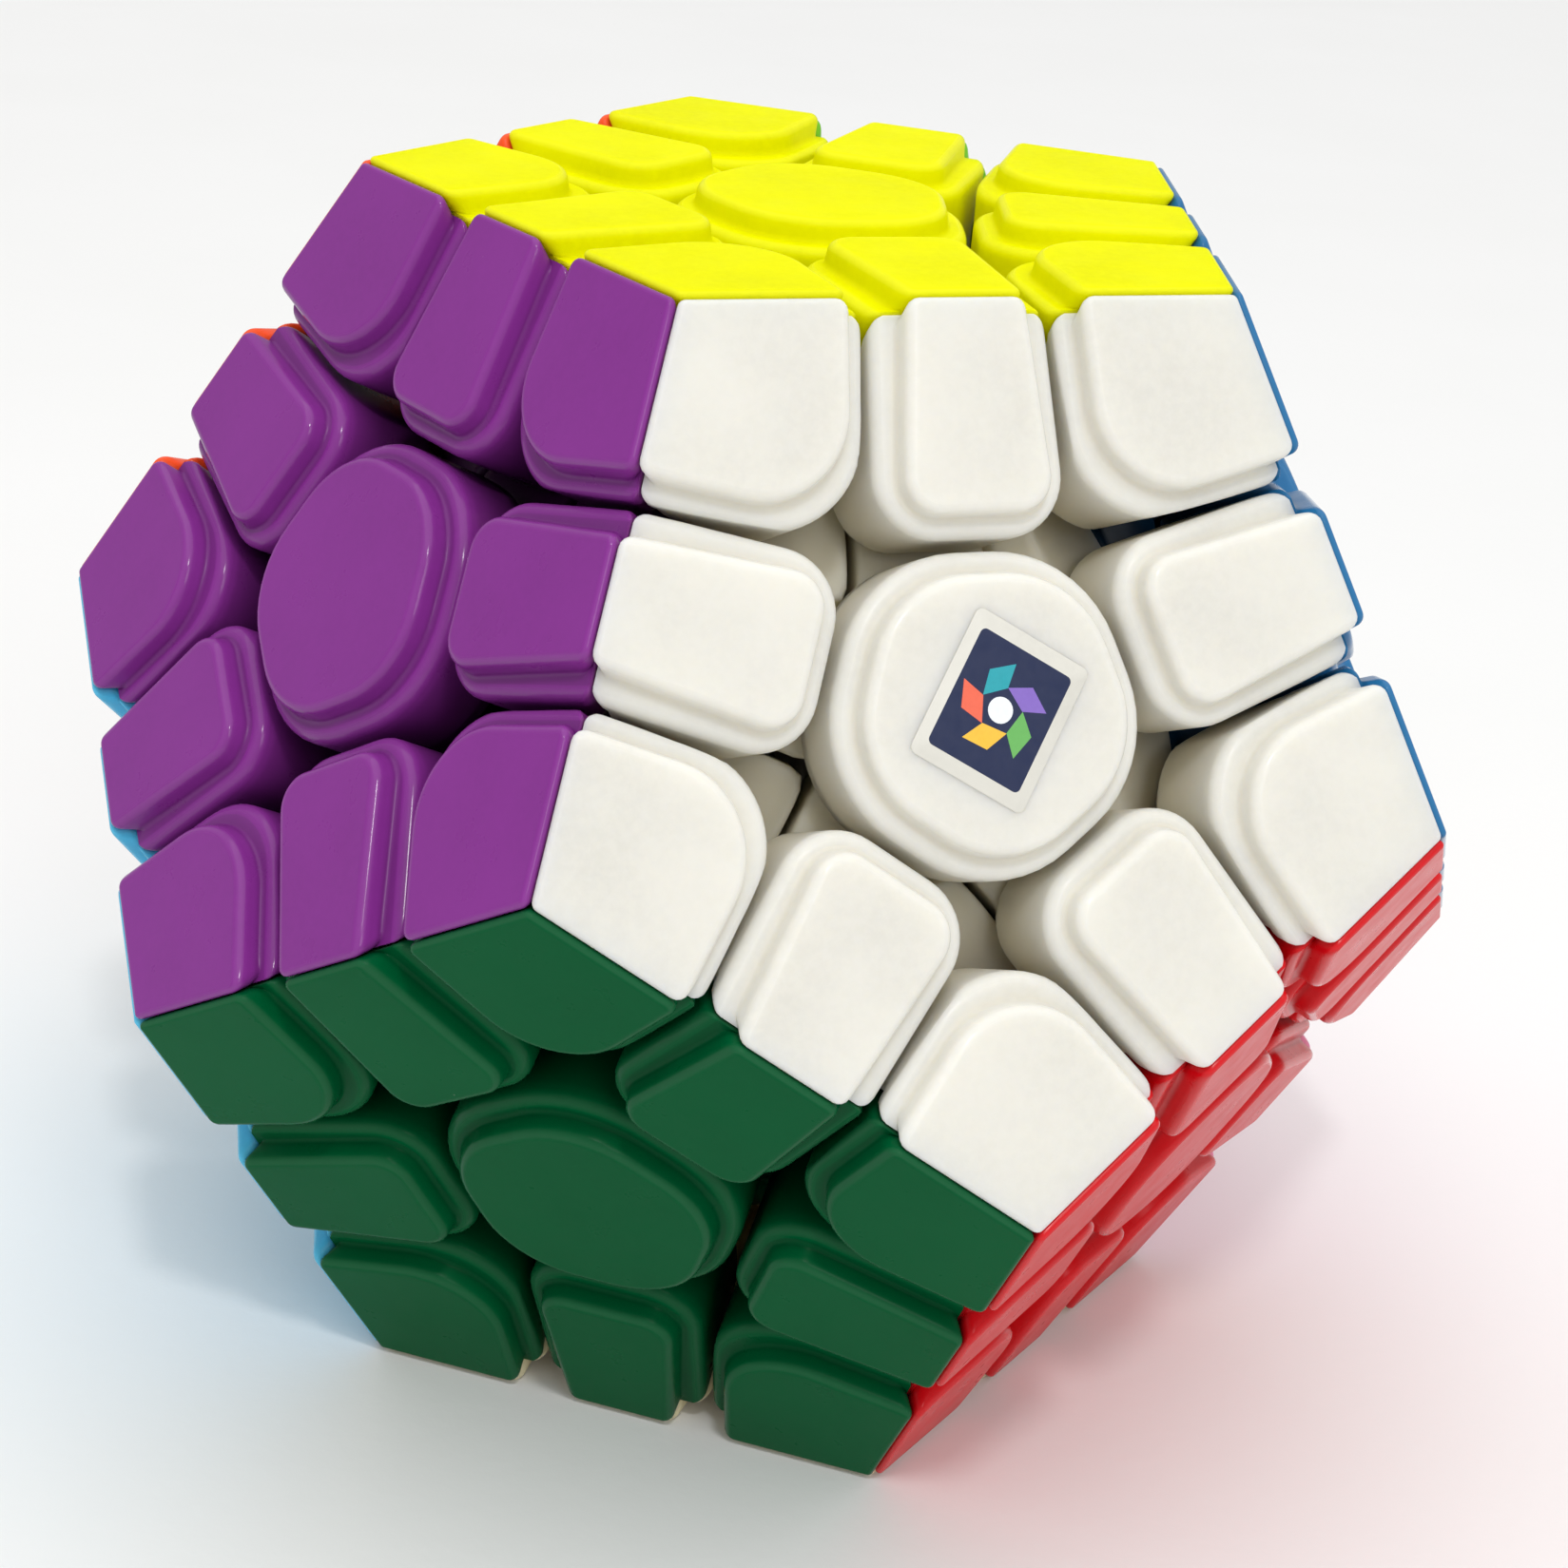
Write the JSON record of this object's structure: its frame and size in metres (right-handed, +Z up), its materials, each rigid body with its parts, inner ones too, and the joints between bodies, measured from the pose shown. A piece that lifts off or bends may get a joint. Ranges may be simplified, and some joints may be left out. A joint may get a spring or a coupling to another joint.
{
  "type": "dodecahedron twisty puzzle",
  "caption": "Stickerless dodecahedron twisty puzzle with sculpted, stepped facelets; face layers turn about a spider core.",
  "frame": {"origin": "middle of the core, which is the middle of the puzzle", "axes": "+Z up through the yellow face, the puzzle standing on its beige face; the white face looks to -Y and up"},
  "size_m": [0.0786, 0.0826, 0.0668],
  "materials": {
    "core_plastic": "satin",
    "yellow_plastic": "satin",
    "white_plastic": "satin",
    "blue_plastic": "satin",
    "lime_plastic": "satin",
    "orange_plastic": "satin",
    "purple_plastic": "satin",
    "red_plastic": "satin",
    "pink_plastic": "satin",
    "grey_plastic": "satin",
    "lightblue_plastic": "satin",
    "green_plastic": "satin",
    "beige_plastic": "satin",
    "label": "printed"
  },
  "bodies": {
    "core": {"core": "core_plastic", "centre_beige": "beige_plastic"},
    "face_yellow": {"centre_yellow": "yellow_plastic"},
    "face_white": {"centre_white": "white_plastic", "white_label": "label"},
    "face_blue": {"centre_blue": "blue_plastic"},
    "face_lime": {"centre_lime": "lime_plastic"},
    "face_orange": {"centre_orange": "orange_plastic"},
    "face_purple": {"centre_purple": "purple_plastic"},
    "face_red": {"centre_red": "red_plastic"},
    "face_pink": {"centre_pink": "pink_plastic"},
    "face_grey": {"centre_grey": "grey_plastic"},
    "face_lightblue": {"centre_lightblue": "lightblue_plastic"},
    "face_green": {"centre_green": "green_plastic"},
    "edge_yellow_white": {"edge_yellow_white": "yellow_plastic"},
    "edge_yellow_blue": {"edge_yellow_blue": "yellow_plastic"},
    "edge_yellow_lime": {"edge_yellow_lime": "yellow_plastic"},
    "edge_yellow_orange": {"edge_yellow_orange": "yellow_plastic"},
    "edge_yellow_purple": {"edge_yellow_purple": "yellow_plastic"},
    "edge_white_blue": {"edge_white_blue": "white_plastic"},
    "edge_blue_lime": {"edge_blue_lime": "blue_plastic"},
    "edge_lime_orange": {"edge_lime_orange": "lime_plastic"},
    "edge_orange_purple": {"edge_orange_purple": "orange_plastic"},
    "edge_white_purple": {"edge_white_purple": "white_plastic"},
    "edge_white_red": {"edge_white_red": "white_plastic"},
    "edge_blue_pink": {"edge_blue_pink": "blue_plastic"},
    "edge_lime_grey": {"edge_lime_grey": "lime_plastic"},
    "edge_orange_lightblue": {"edge_orange_lightblue": "orange_plastic"},
    "edge_purple_green": {"edge_purple_green": "purple_plastic"},
    "edge_blue_red": {"edge_blue_red": "blue_plastic"},
    "edge_lime_pink": {"edge_lime_pink": "lime_plastic"},
    "edge_orange_grey": {"edge_orange_grey": "orange_plastic"},
    "edge_purple_lightblue": {"edge_purple_lightblue": "purple_plastic"},
    "edge_white_green": {"edge_white_green": "white_plastic"},
    "edge_red_pink": {"edge_red_pink": "red_plastic", "corner_red_pink_beige": "red_plastic"},
    "edge_pink_grey": {"edge_pink_grey": "pink_plastic", "corner_pink_grey_beige": "pink_plastic"},
    "edge_grey_lightblue": {"edge_grey_lightblue": "grey_plastic", "corner_grey_lightblue_beige": "grey_plastic"},
    "edge_lightblue_green": {"edge_lightblue_green": "lightblue_plastic", "corner_lightblue_green_beige": "lightblue_plastic"},
    "edge_red_green": {"edge_red_green": "red_plastic", "corner_red_green_beige": "red_plastic"},
    "corner_yellow_white_blue": {"corner_yellow_white_blue": "yellow_plastic"},
    "corner_yellow_blue_lime": {"corner_yellow_blue_lime": "yellow_plastic"},
    "corner_yellow_lime_orange": {"corner_yellow_lime_orange": "yellow_plastic"},
    "corner_yellow_orange_purple": {"corner_yellow_orange_purple": "yellow_plastic"},
    "corner_yellow_white_purple": {"corner_yellow_white_purple": "yellow_plastic"},
    "corner_white_blue_red": {"corner_white_blue_red": "white_plastic"},
    "corner_blue_lime_pink": {"corner_blue_lime_pink": "blue_plastic"},
    "corner_lime_orange_grey": {"corner_lime_orange_grey": "lime_plastic"},
    "corner_orange_purple_lightblue": {"corner_orange_purple_lightblue": "orange_plastic"},
    "corner_white_purple_green": {"corner_white_purple_green": "white_plastic"},
    "corner_white_red_green": {"corner_white_red_green": "white_plastic"},
    "corner_blue_red_pink": {"corner_blue_red_pink": "blue_plastic"},
    "corner_lime_pink_grey": {"corner_lime_pink_grey": "lime_plastic"},
    "corner_orange_grey_lightblue": {"corner_orange_grey_lightblue": "orange_plastic"},
    "corner_purple_lightblue_green": {"corner_purple_lightblue_green": "purple_plastic"}
  },
  "joints": [
    {"name": "turn_yellow", "type": "hinge", "parent": "core", "child": "face_yellow", "pos_m": [0, 0, 0], "axis": [0, 0, 1], "range_deg": [-288, 216]},
    {"name": "turn_white", "type": "hinge", "parent": "core", "child": "face_white", "pos_m": [0, 0, 0], "axis": [0, -0.8944, 0.4472], "range_deg": [-288, 216]},
    {"name": "turn_blue", "type": "hinge", "parent": "core", "child": "face_blue", "pos_m": [0, 0, 0], "axis": [0.8507, -0.2764, 0.4472], "range_deg": [-288, 216]},
    {"name": "turn_lime", "type": "hinge", "parent": "core", "child": "face_lime", "pos_m": [0, 0, 0], "axis": [0.5257, 0.7236, 0.4472], "range_deg": [-288, 216]},
    {"name": "turn_orange", "type": "hinge", "parent": "core", "child": "face_orange", "pos_m": [0, 0, 0], "axis": [-0.5257, 0.7236, 0.4472], "range_deg": [-288, 216]},
    {"name": "turn_purple", "type": "hinge", "parent": "core", "child": "face_purple", "pos_m": [0, 0, 0], "axis": [-0.8507, -0.2764, 0.4472], "range_deg": [-288, 216]},
    {"name": "turn_red", "type": "hinge", "parent": "core", "child": "face_red", "pos_m": [0, 0, 0], "axis": [0.5257, -0.7236, -0.4472], "range_deg": [-288, 216]},
    {"name": "turn_pink", "type": "hinge", "parent": "core", "child": "face_pink", "pos_m": [0, 0, 0], "axis": [0.8507, 0.2764, -0.4472], "range_deg": [-288, 216]},
    {"name": "turn_grey", "type": "hinge", "parent": "core", "child": "face_grey", "pos_m": [0, 0, 0], "axis": [0, 0.8944, -0.4472], "range_deg": [-288, 216]},
    {"name": "turn_lightblue", "type": "hinge", "parent": "core", "child": "face_lightblue", "pos_m": [0, 0, 0], "axis": [-0.8507, 0.2764, -0.4472], "range_deg": [-288, 216]},
    {"name": "turn_green", "type": "hinge", "parent": "core", "child": "face_green", "pos_m": [0, 0, 0], "axis": [-0.5257, -0.7236, -0.4472], "range_deg": [-288, 216]},
    {"name": "edge_yellow_white_follows_yellow", "type": "hinge", "parent": "face_white", "child": "edge_yellow_white", "pos_m": [0, 0, 0], "axis": [0, 0, 1], "range_deg": [-288, 216]},
    {"name": "edge_yellow_blue_follows_yellow", "type": "hinge", "parent": "face_blue", "child": "edge_yellow_blue", "pos_m": [0, 0, 0], "axis": [0, 0, 1], "range_deg": [-288, 216]},
    {"name": "edge_yellow_lime_follows_yellow", "type": "hinge", "parent": "face_lime", "child": "edge_yellow_lime", "pos_m": [0, 0, 0], "axis": [0, 0, 1], "range_deg": [-288, 216]},
    {"name": "edge_yellow_orange_follows_yellow", "type": "hinge", "parent": "face_orange", "child": "edge_yellow_orange", "pos_m": [0, 0, 0], "axis": [0, 0, 1], "range_deg": [-288, 216]},
    {"name": "edge_yellow_purple_follows_yellow", "type": "hinge", "parent": "face_purple", "child": "edge_yellow_purple", "pos_m": [0, 0, 0], "axis": [0, 0, 1], "range_deg": [-288, 216]},
    {"name": "edge_white_blue_follows_white", "type": "hinge", "parent": "face_blue", "child": "edge_white_blue", "pos_m": [0, 0, 0], "axis": [0, -0.8944, 0.4472], "range_deg": [-288, 216]},
    {"name": "edge_blue_lime_follows_blue", "type": "hinge", "parent": "face_lime", "child": "edge_blue_lime", "pos_m": [0, 0, 0], "axis": [0.8507, -0.2764, 0.4472], "range_deg": [-288, 216]},
    {"name": "edge_lime_orange_follows_lime", "type": "hinge", "parent": "face_orange", "child": "edge_lime_orange", "pos_m": [0, 0, 0], "axis": [0.5257, 0.7236, 0.4472], "range_deg": [-288, 216]},
    {"name": "edge_orange_purple_follows_orange", "type": "hinge", "parent": "face_purple", "child": "edge_orange_purple", "pos_m": [0, 0, 0], "axis": [-0.5257, 0.7236, 0.4472], "range_deg": [-288, 216]},
    {"name": "edge_white_purple_follows_purple", "type": "hinge", "parent": "face_white", "child": "edge_white_purple", "pos_m": [0, 0, 0], "axis": [-0.8507, -0.2764, 0.4472], "range_deg": [-288, 216]},
    {"name": "edge_white_red_follows_red", "type": "hinge", "parent": "face_white", "child": "edge_white_red", "pos_m": [0, 0, 0], "axis": [0.5257, -0.7236, -0.4472], "range_deg": [-288, 216]},
    {"name": "edge_blue_pink_follows_pink", "type": "hinge", "parent": "face_blue", "child": "edge_blue_pink", "pos_m": [0, 0, 0], "axis": [0.8507, 0.2764, -0.4472], "range_deg": [-288, 216]},
    {"name": "edge_lime_grey_follows_grey", "type": "hinge", "parent": "face_lime", "child": "edge_lime_grey", "pos_m": [0, 0, 0], "axis": [0, 0.8944, -0.4472], "range_deg": [-288, 216]},
    {"name": "edge_orange_lightblue_follows_lightblue", "type": "hinge", "parent": "face_orange", "child": "edge_orange_lightblue", "pos_m": [0, 0, 0], "axis": [-0.8507, 0.2764, -0.4472], "range_deg": [-288, 216]},
    {"name": "edge_purple_green_follows_green", "type": "hinge", "parent": "face_purple", "child": "edge_purple_green", "pos_m": [0, 0, 0], "axis": [-0.5257, -0.7236, -0.4472], "range_deg": [-288, 216]},
    {"name": "edge_blue_red_follows_blue", "type": "hinge", "parent": "face_red", "child": "edge_blue_red", "pos_m": [0, 0, 0], "axis": [0.8507, -0.2764, 0.4472], "range_deg": [-288, 216]},
    {"name": "edge_lime_pink_follows_lime", "type": "hinge", "parent": "face_pink", "child": "edge_lime_pink", "pos_m": [0, 0, 0], "axis": [0.5257, 0.7236, 0.4472], "range_deg": [-288, 216]},
    {"name": "edge_orange_grey_follows_orange", "type": "hinge", "parent": "face_grey", "child": "edge_orange_grey", "pos_m": [0, 0, 0], "axis": [-0.5257, 0.7236, 0.4472], "range_deg": [-288, 216]},
    {"name": "edge_purple_lightblue_follows_purple", "type": "hinge", "parent": "face_lightblue", "child": "edge_purple_lightblue", "pos_m": [0, 0, 0], "axis": [-0.8507, -0.2764, 0.4472], "range_deg": [-288, 216]},
    {"name": "edge_white_green_follows_white", "type": "hinge", "parent": "face_green", "child": "edge_white_green", "pos_m": [0, 0, 0], "axis": [0, -0.8944, 0.4472], "range_deg": [-288, 216]},
    {"name": "edge_red_pink_follows_red", "type": "hinge", "parent": "face_pink", "child": "edge_red_pink", "pos_m": [0, 0, 0], "axis": [0.5257, -0.7236, -0.4472], "range_deg": [-288, 216]},
    {"name": "edge_pink_grey_follows_pink", "type": "hinge", "parent": "face_grey", "child": "edge_pink_grey", "pos_m": [0, 0, 0], "axis": [0.8507, 0.2764, -0.4472], "range_deg": [-288, 216]},
    {"name": "edge_grey_lightblue_follows_grey", "type": "hinge", "parent": "face_lightblue", "child": "edge_grey_lightblue", "pos_m": [0, 0, 0], "axis": [0, 0.8944, -0.4472], "range_deg": [-288, 216]},
    {"name": "edge_lightblue_green_follows_lightblue", "type": "hinge", "parent": "face_green", "child": "edge_lightblue_green", "pos_m": [0, 0, 0], "axis": [-0.8507, 0.2764, -0.4472], "range_deg": [-288, 216]},
    {"name": "edge_red_green_follows_green", "type": "hinge", "parent": "face_red", "child": "edge_red_green", "pos_m": [0, 0, 0], "axis": [-0.5257, -0.7236, -0.4472], "range_deg": [-288, 216]},
    {"name": "corner_yellow_white_blue_follows_white", "type": "hinge", "parent": "edge_yellow_blue", "child": "corner_yellow_white_blue", "pos_m": [0, 0, 0], "axis": [0, -0.8944, 0.4472], "range_deg": [-288, 216]},
    {"name": "corner_yellow_blue_lime_follows_blue", "type": "hinge", "parent": "edge_yellow_lime", "child": "corner_yellow_blue_lime", "pos_m": [0, 0, 0], "axis": [0.8507, -0.2764, 0.4472], "range_deg": [-288, 216]},
    {"name": "corner_yellow_lime_orange_follows_lime", "type": "hinge", "parent": "edge_yellow_orange", "child": "corner_yellow_lime_orange", "pos_m": [0, 0, 0], "axis": [0.5257, 0.7236, 0.4472], "range_deg": [-288, 216]},
    {"name": "corner_yellow_orange_purple_follows_orange", "type": "hinge", "parent": "edge_yellow_purple", "child": "corner_yellow_orange_purple", "pos_m": [0, 0, 0], "axis": [-0.5257, 0.7236, 0.4472], "range_deg": [-288, 216]},
    {"name": "corner_yellow_white_purple_follows_purple", "type": "hinge", "parent": "edge_yellow_white", "child": "corner_yellow_white_purple", "pos_m": [0, 0, 0], "axis": [-0.8507, -0.2764, 0.4472], "range_deg": [-288, 216]},
    {"name": "corner_white_blue_red_follows_white", "type": "hinge", "parent": "edge_blue_red", "child": "corner_white_blue_red", "pos_m": [0, 0, 0], "axis": [0, -0.8944, 0.4472], "range_deg": [-288, 216]},
    {"name": "corner_blue_lime_pink_follows_blue", "type": "hinge", "parent": "edge_lime_pink", "child": "corner_blue_lime_pink", "pos_m": [0, 0, 0], "axis": [0.8507, -0.2764, 0.4472], "range_deg": [-288, 216]},
    {"name": "corner_lime_orange_grey_follows_lime", "type": "hinge", "parent": "edge_orange_grey", "child": "corner_lime_orange_grey", "pos_m": [0, 0, 0], "axis": [0.5257, 0.7236, 0.4472], "range_deg": [-288, 216]},
    {"name": "corner_orange_purple_lightblue_follows_orange", "type": "hinge", "parent": "edge_purple_lightblue", "child": "corner_orange_purple_lightblue", "pos_m": [0, 0, 0], "axis": [-0.5257, 0.7236, 0.4472], "range_deg": [-288, 216]},
    {"name": "corner_white_purple_green_follows_purple", "type": "hinge", "parent": "edge_white_green", "child": "corner_white_purple_green", "pos_m": [0, 0, 0], "axis": [-0.8507, -0.2764, 0.4472], "range_deg": [-288, 216]},
    {"name": "corner_white_red_green_follows_red", "type": "hinge", "parent": "edge_white_green", "child": "corner_white_red_green", "pos_m": [0, 0, 0], "axis": [0.5257, -0.7236, -0.4472], "range_deg": [-288, 216]},
    {"name": "corner_blue_red_pink_follows_pink", "type": "hinge", "parent": "edge_blue_red", "child": "corner_blue_red_pink", "pos_m": [0, 0, 0], "axis": [0.8507, 0.2764, -0.4472], "range_deg": [-288, 216]},
    {"name": "corner_lime_pink_grey_follows_grey", "type": "hinge", "parent": "edge_lime_pink", "child": "corner_lime_pink_grey", "pos_m": [0, 0, 0], "axis": [0, 0.8944, -0.4472], "range_deg": [-288, 216]},
    {"name": "corner_orange_grey_lightblue_follows_lightblue", "type": "hinge", "parent": "edge_orange_grey", "child": "corner_orange_grey_lightblue", "pos_m": [0, 0, 0], "axis": [-0.8507, 0.2764, -0.4472], "range_deg": [-288, 216]},
    {"name": "corner_purple_lightblue_green_follows_green", "type": "hinge", "parent": "edge_purple_lightblue", "child": "corner_purple_lightblue_green", "pos_m": [0, 0, 0], "axis": [-0.5257, -0.7236, -0.4472], "range_deg": [-288, 216]}
  ],
  "couplings": [
    {"joint": "edge_yellow_white_follows_yellow", "follows": "turn_yellow", "ratio": 1},
    {"joint": "edge_yellow_blue_follows_yellow", "follows": "turn_yellow", "ratio": 1},
    {"joint": "edge_yellow_lime_follows_yellow", "follows": "turn_yellow", "ratio": 1},
    {"joint": "edge_yellow_orange_follows_yellow", "follows": "turn_yellow", "ratio": 1},
    {"joint": "edge_yellow_purple_follows_yellow", "follows": "turn_yellow", "ratio": 1},
    {"joint": "edge_white_blue_follows_white", "follows": "turn_white", "ratio": 1},
    {"joint": "edge_blue_lime_follows_blue", "follows": "turn_blue", "ratio": 1},
    {"joint": "edge_lime_orange_follows_lime", "follows": "turn_lime", "ratio": 1},
    {"joint": "edge_orange_purple_follows_orange", "follows": "turn_orange", "ratio": 1},
    {"joint": "edge_white_purple_follows_purple", "follows": "turn_purple", "ratio": 1},
    {"joint": "edge_white_red_follows_red", "follows": "turn_red", "ratio": 1},
    {"joint": "edge_blue_pink_follows_pink", "follows": "turn_pink", "ratio": 1},
    {"joint": "edge_lime_grey_follows_grey", "follows": "turn_grey", "ratio": 1},
    {"joint": "edge_orange_lightblue_follows_lightblue", "follows": "turn_lightblue", "ratio": 1},
    {"joint": "edge_purple_green_follows_green", "follows": "turn_green", "ratio": 1},
    {"joint": "edge_blue_red_follows_blue", "follows": "turn_blue", "ratio": 1},
    {"joint": "edge_lime_pink_follows_lime", "follows": "turn_lime", "ratio": 1},
    {"joint": "edge_orange_grey_follows_orange", "follows": "turn_orange", "ratio": 1},
    {"joint": "edge_purple_lightblue_follows_purple", "follows": "turn_purple", "ratio": 1},
    {"joint": "edge_white_green_follows_white", "follows": "turn_white", "ratio": 1},
    {"joint": "edge_red_pink_follows_red", "follows": "turn_red", "ratio": 1},
    {"joint": "edge_pink_grey_follows_pink", "follows": "turn_pink", "ratio": 1},
    {"joint": "edge_grey_lightblue_follows_grey", "follows": "turn_grey", "ratio": 1},
    {"joint": "edge_lightblue_green_follows_lightblue", "follows": "turn_lightblue", "ratio": 1},
    {"joint": "edge_red_green_follows_green", "follows": "turn_green", "ratio": 1},
    {"joint": "corner_yellow_white_blue_follows_white", "follows": "turn_white", "ratio": 1},
    {"joint": "corner_yellow_blue_lime_follows_blue", "follows": "turn_blue", "ratio": 1},
    {"joint": "corner_yellow_lime_orange_follows_lime", "follows": "turn_lime", "ratio": 1},
    {"joint": "corner_yellow_orange_purple_follows_orange", "follows": "turn_orange", "ratio": 1},
    {"joint": "corner_yellow_white_purple_follows_purple", "follows": "turn_purple", "ratio": 1},
    {"joint": "corner_white_blue_red_follows_white", "follows": "turn_white", "ratio": 1},
    {"joint": "corner_blue_lime_pink_follows_blue", "follows": "turn_blue", "ratio": 1},
    {"joint": "corner_lime_orange_grey_follows_lime", "follows": "turn_lime", "ratio": 1},
    {"joint": "corner_orange_purple_lightblue_follows_orange", "follows": "turn_orange", "ratio": 1},
    {"joint": "corner_white_purple_green_follows_purple", "follows": "turn_purple", "ratio": 1},
    {"joint": "corner_white_red_green_follows_red", "follows": "turn_red", "ratio": 1},
    {"joint": "corner_blue_red_pink_follows_pink", "follows": "turn_pink", "ratio": 1},
    {"joint": "corner_lime_pink_grey_follows_grey", "follows": "turn_grey", "ratio": 1},
    {"joint": "corner_orange_grey_lightblue_follows_lightblue", "follows": "turn_lightblue", "ratio": 1},
    {"joint": "corner_purple_lightblue_green_follows_green", "follows": "turn_green", "ratio": 1}
  ]
}
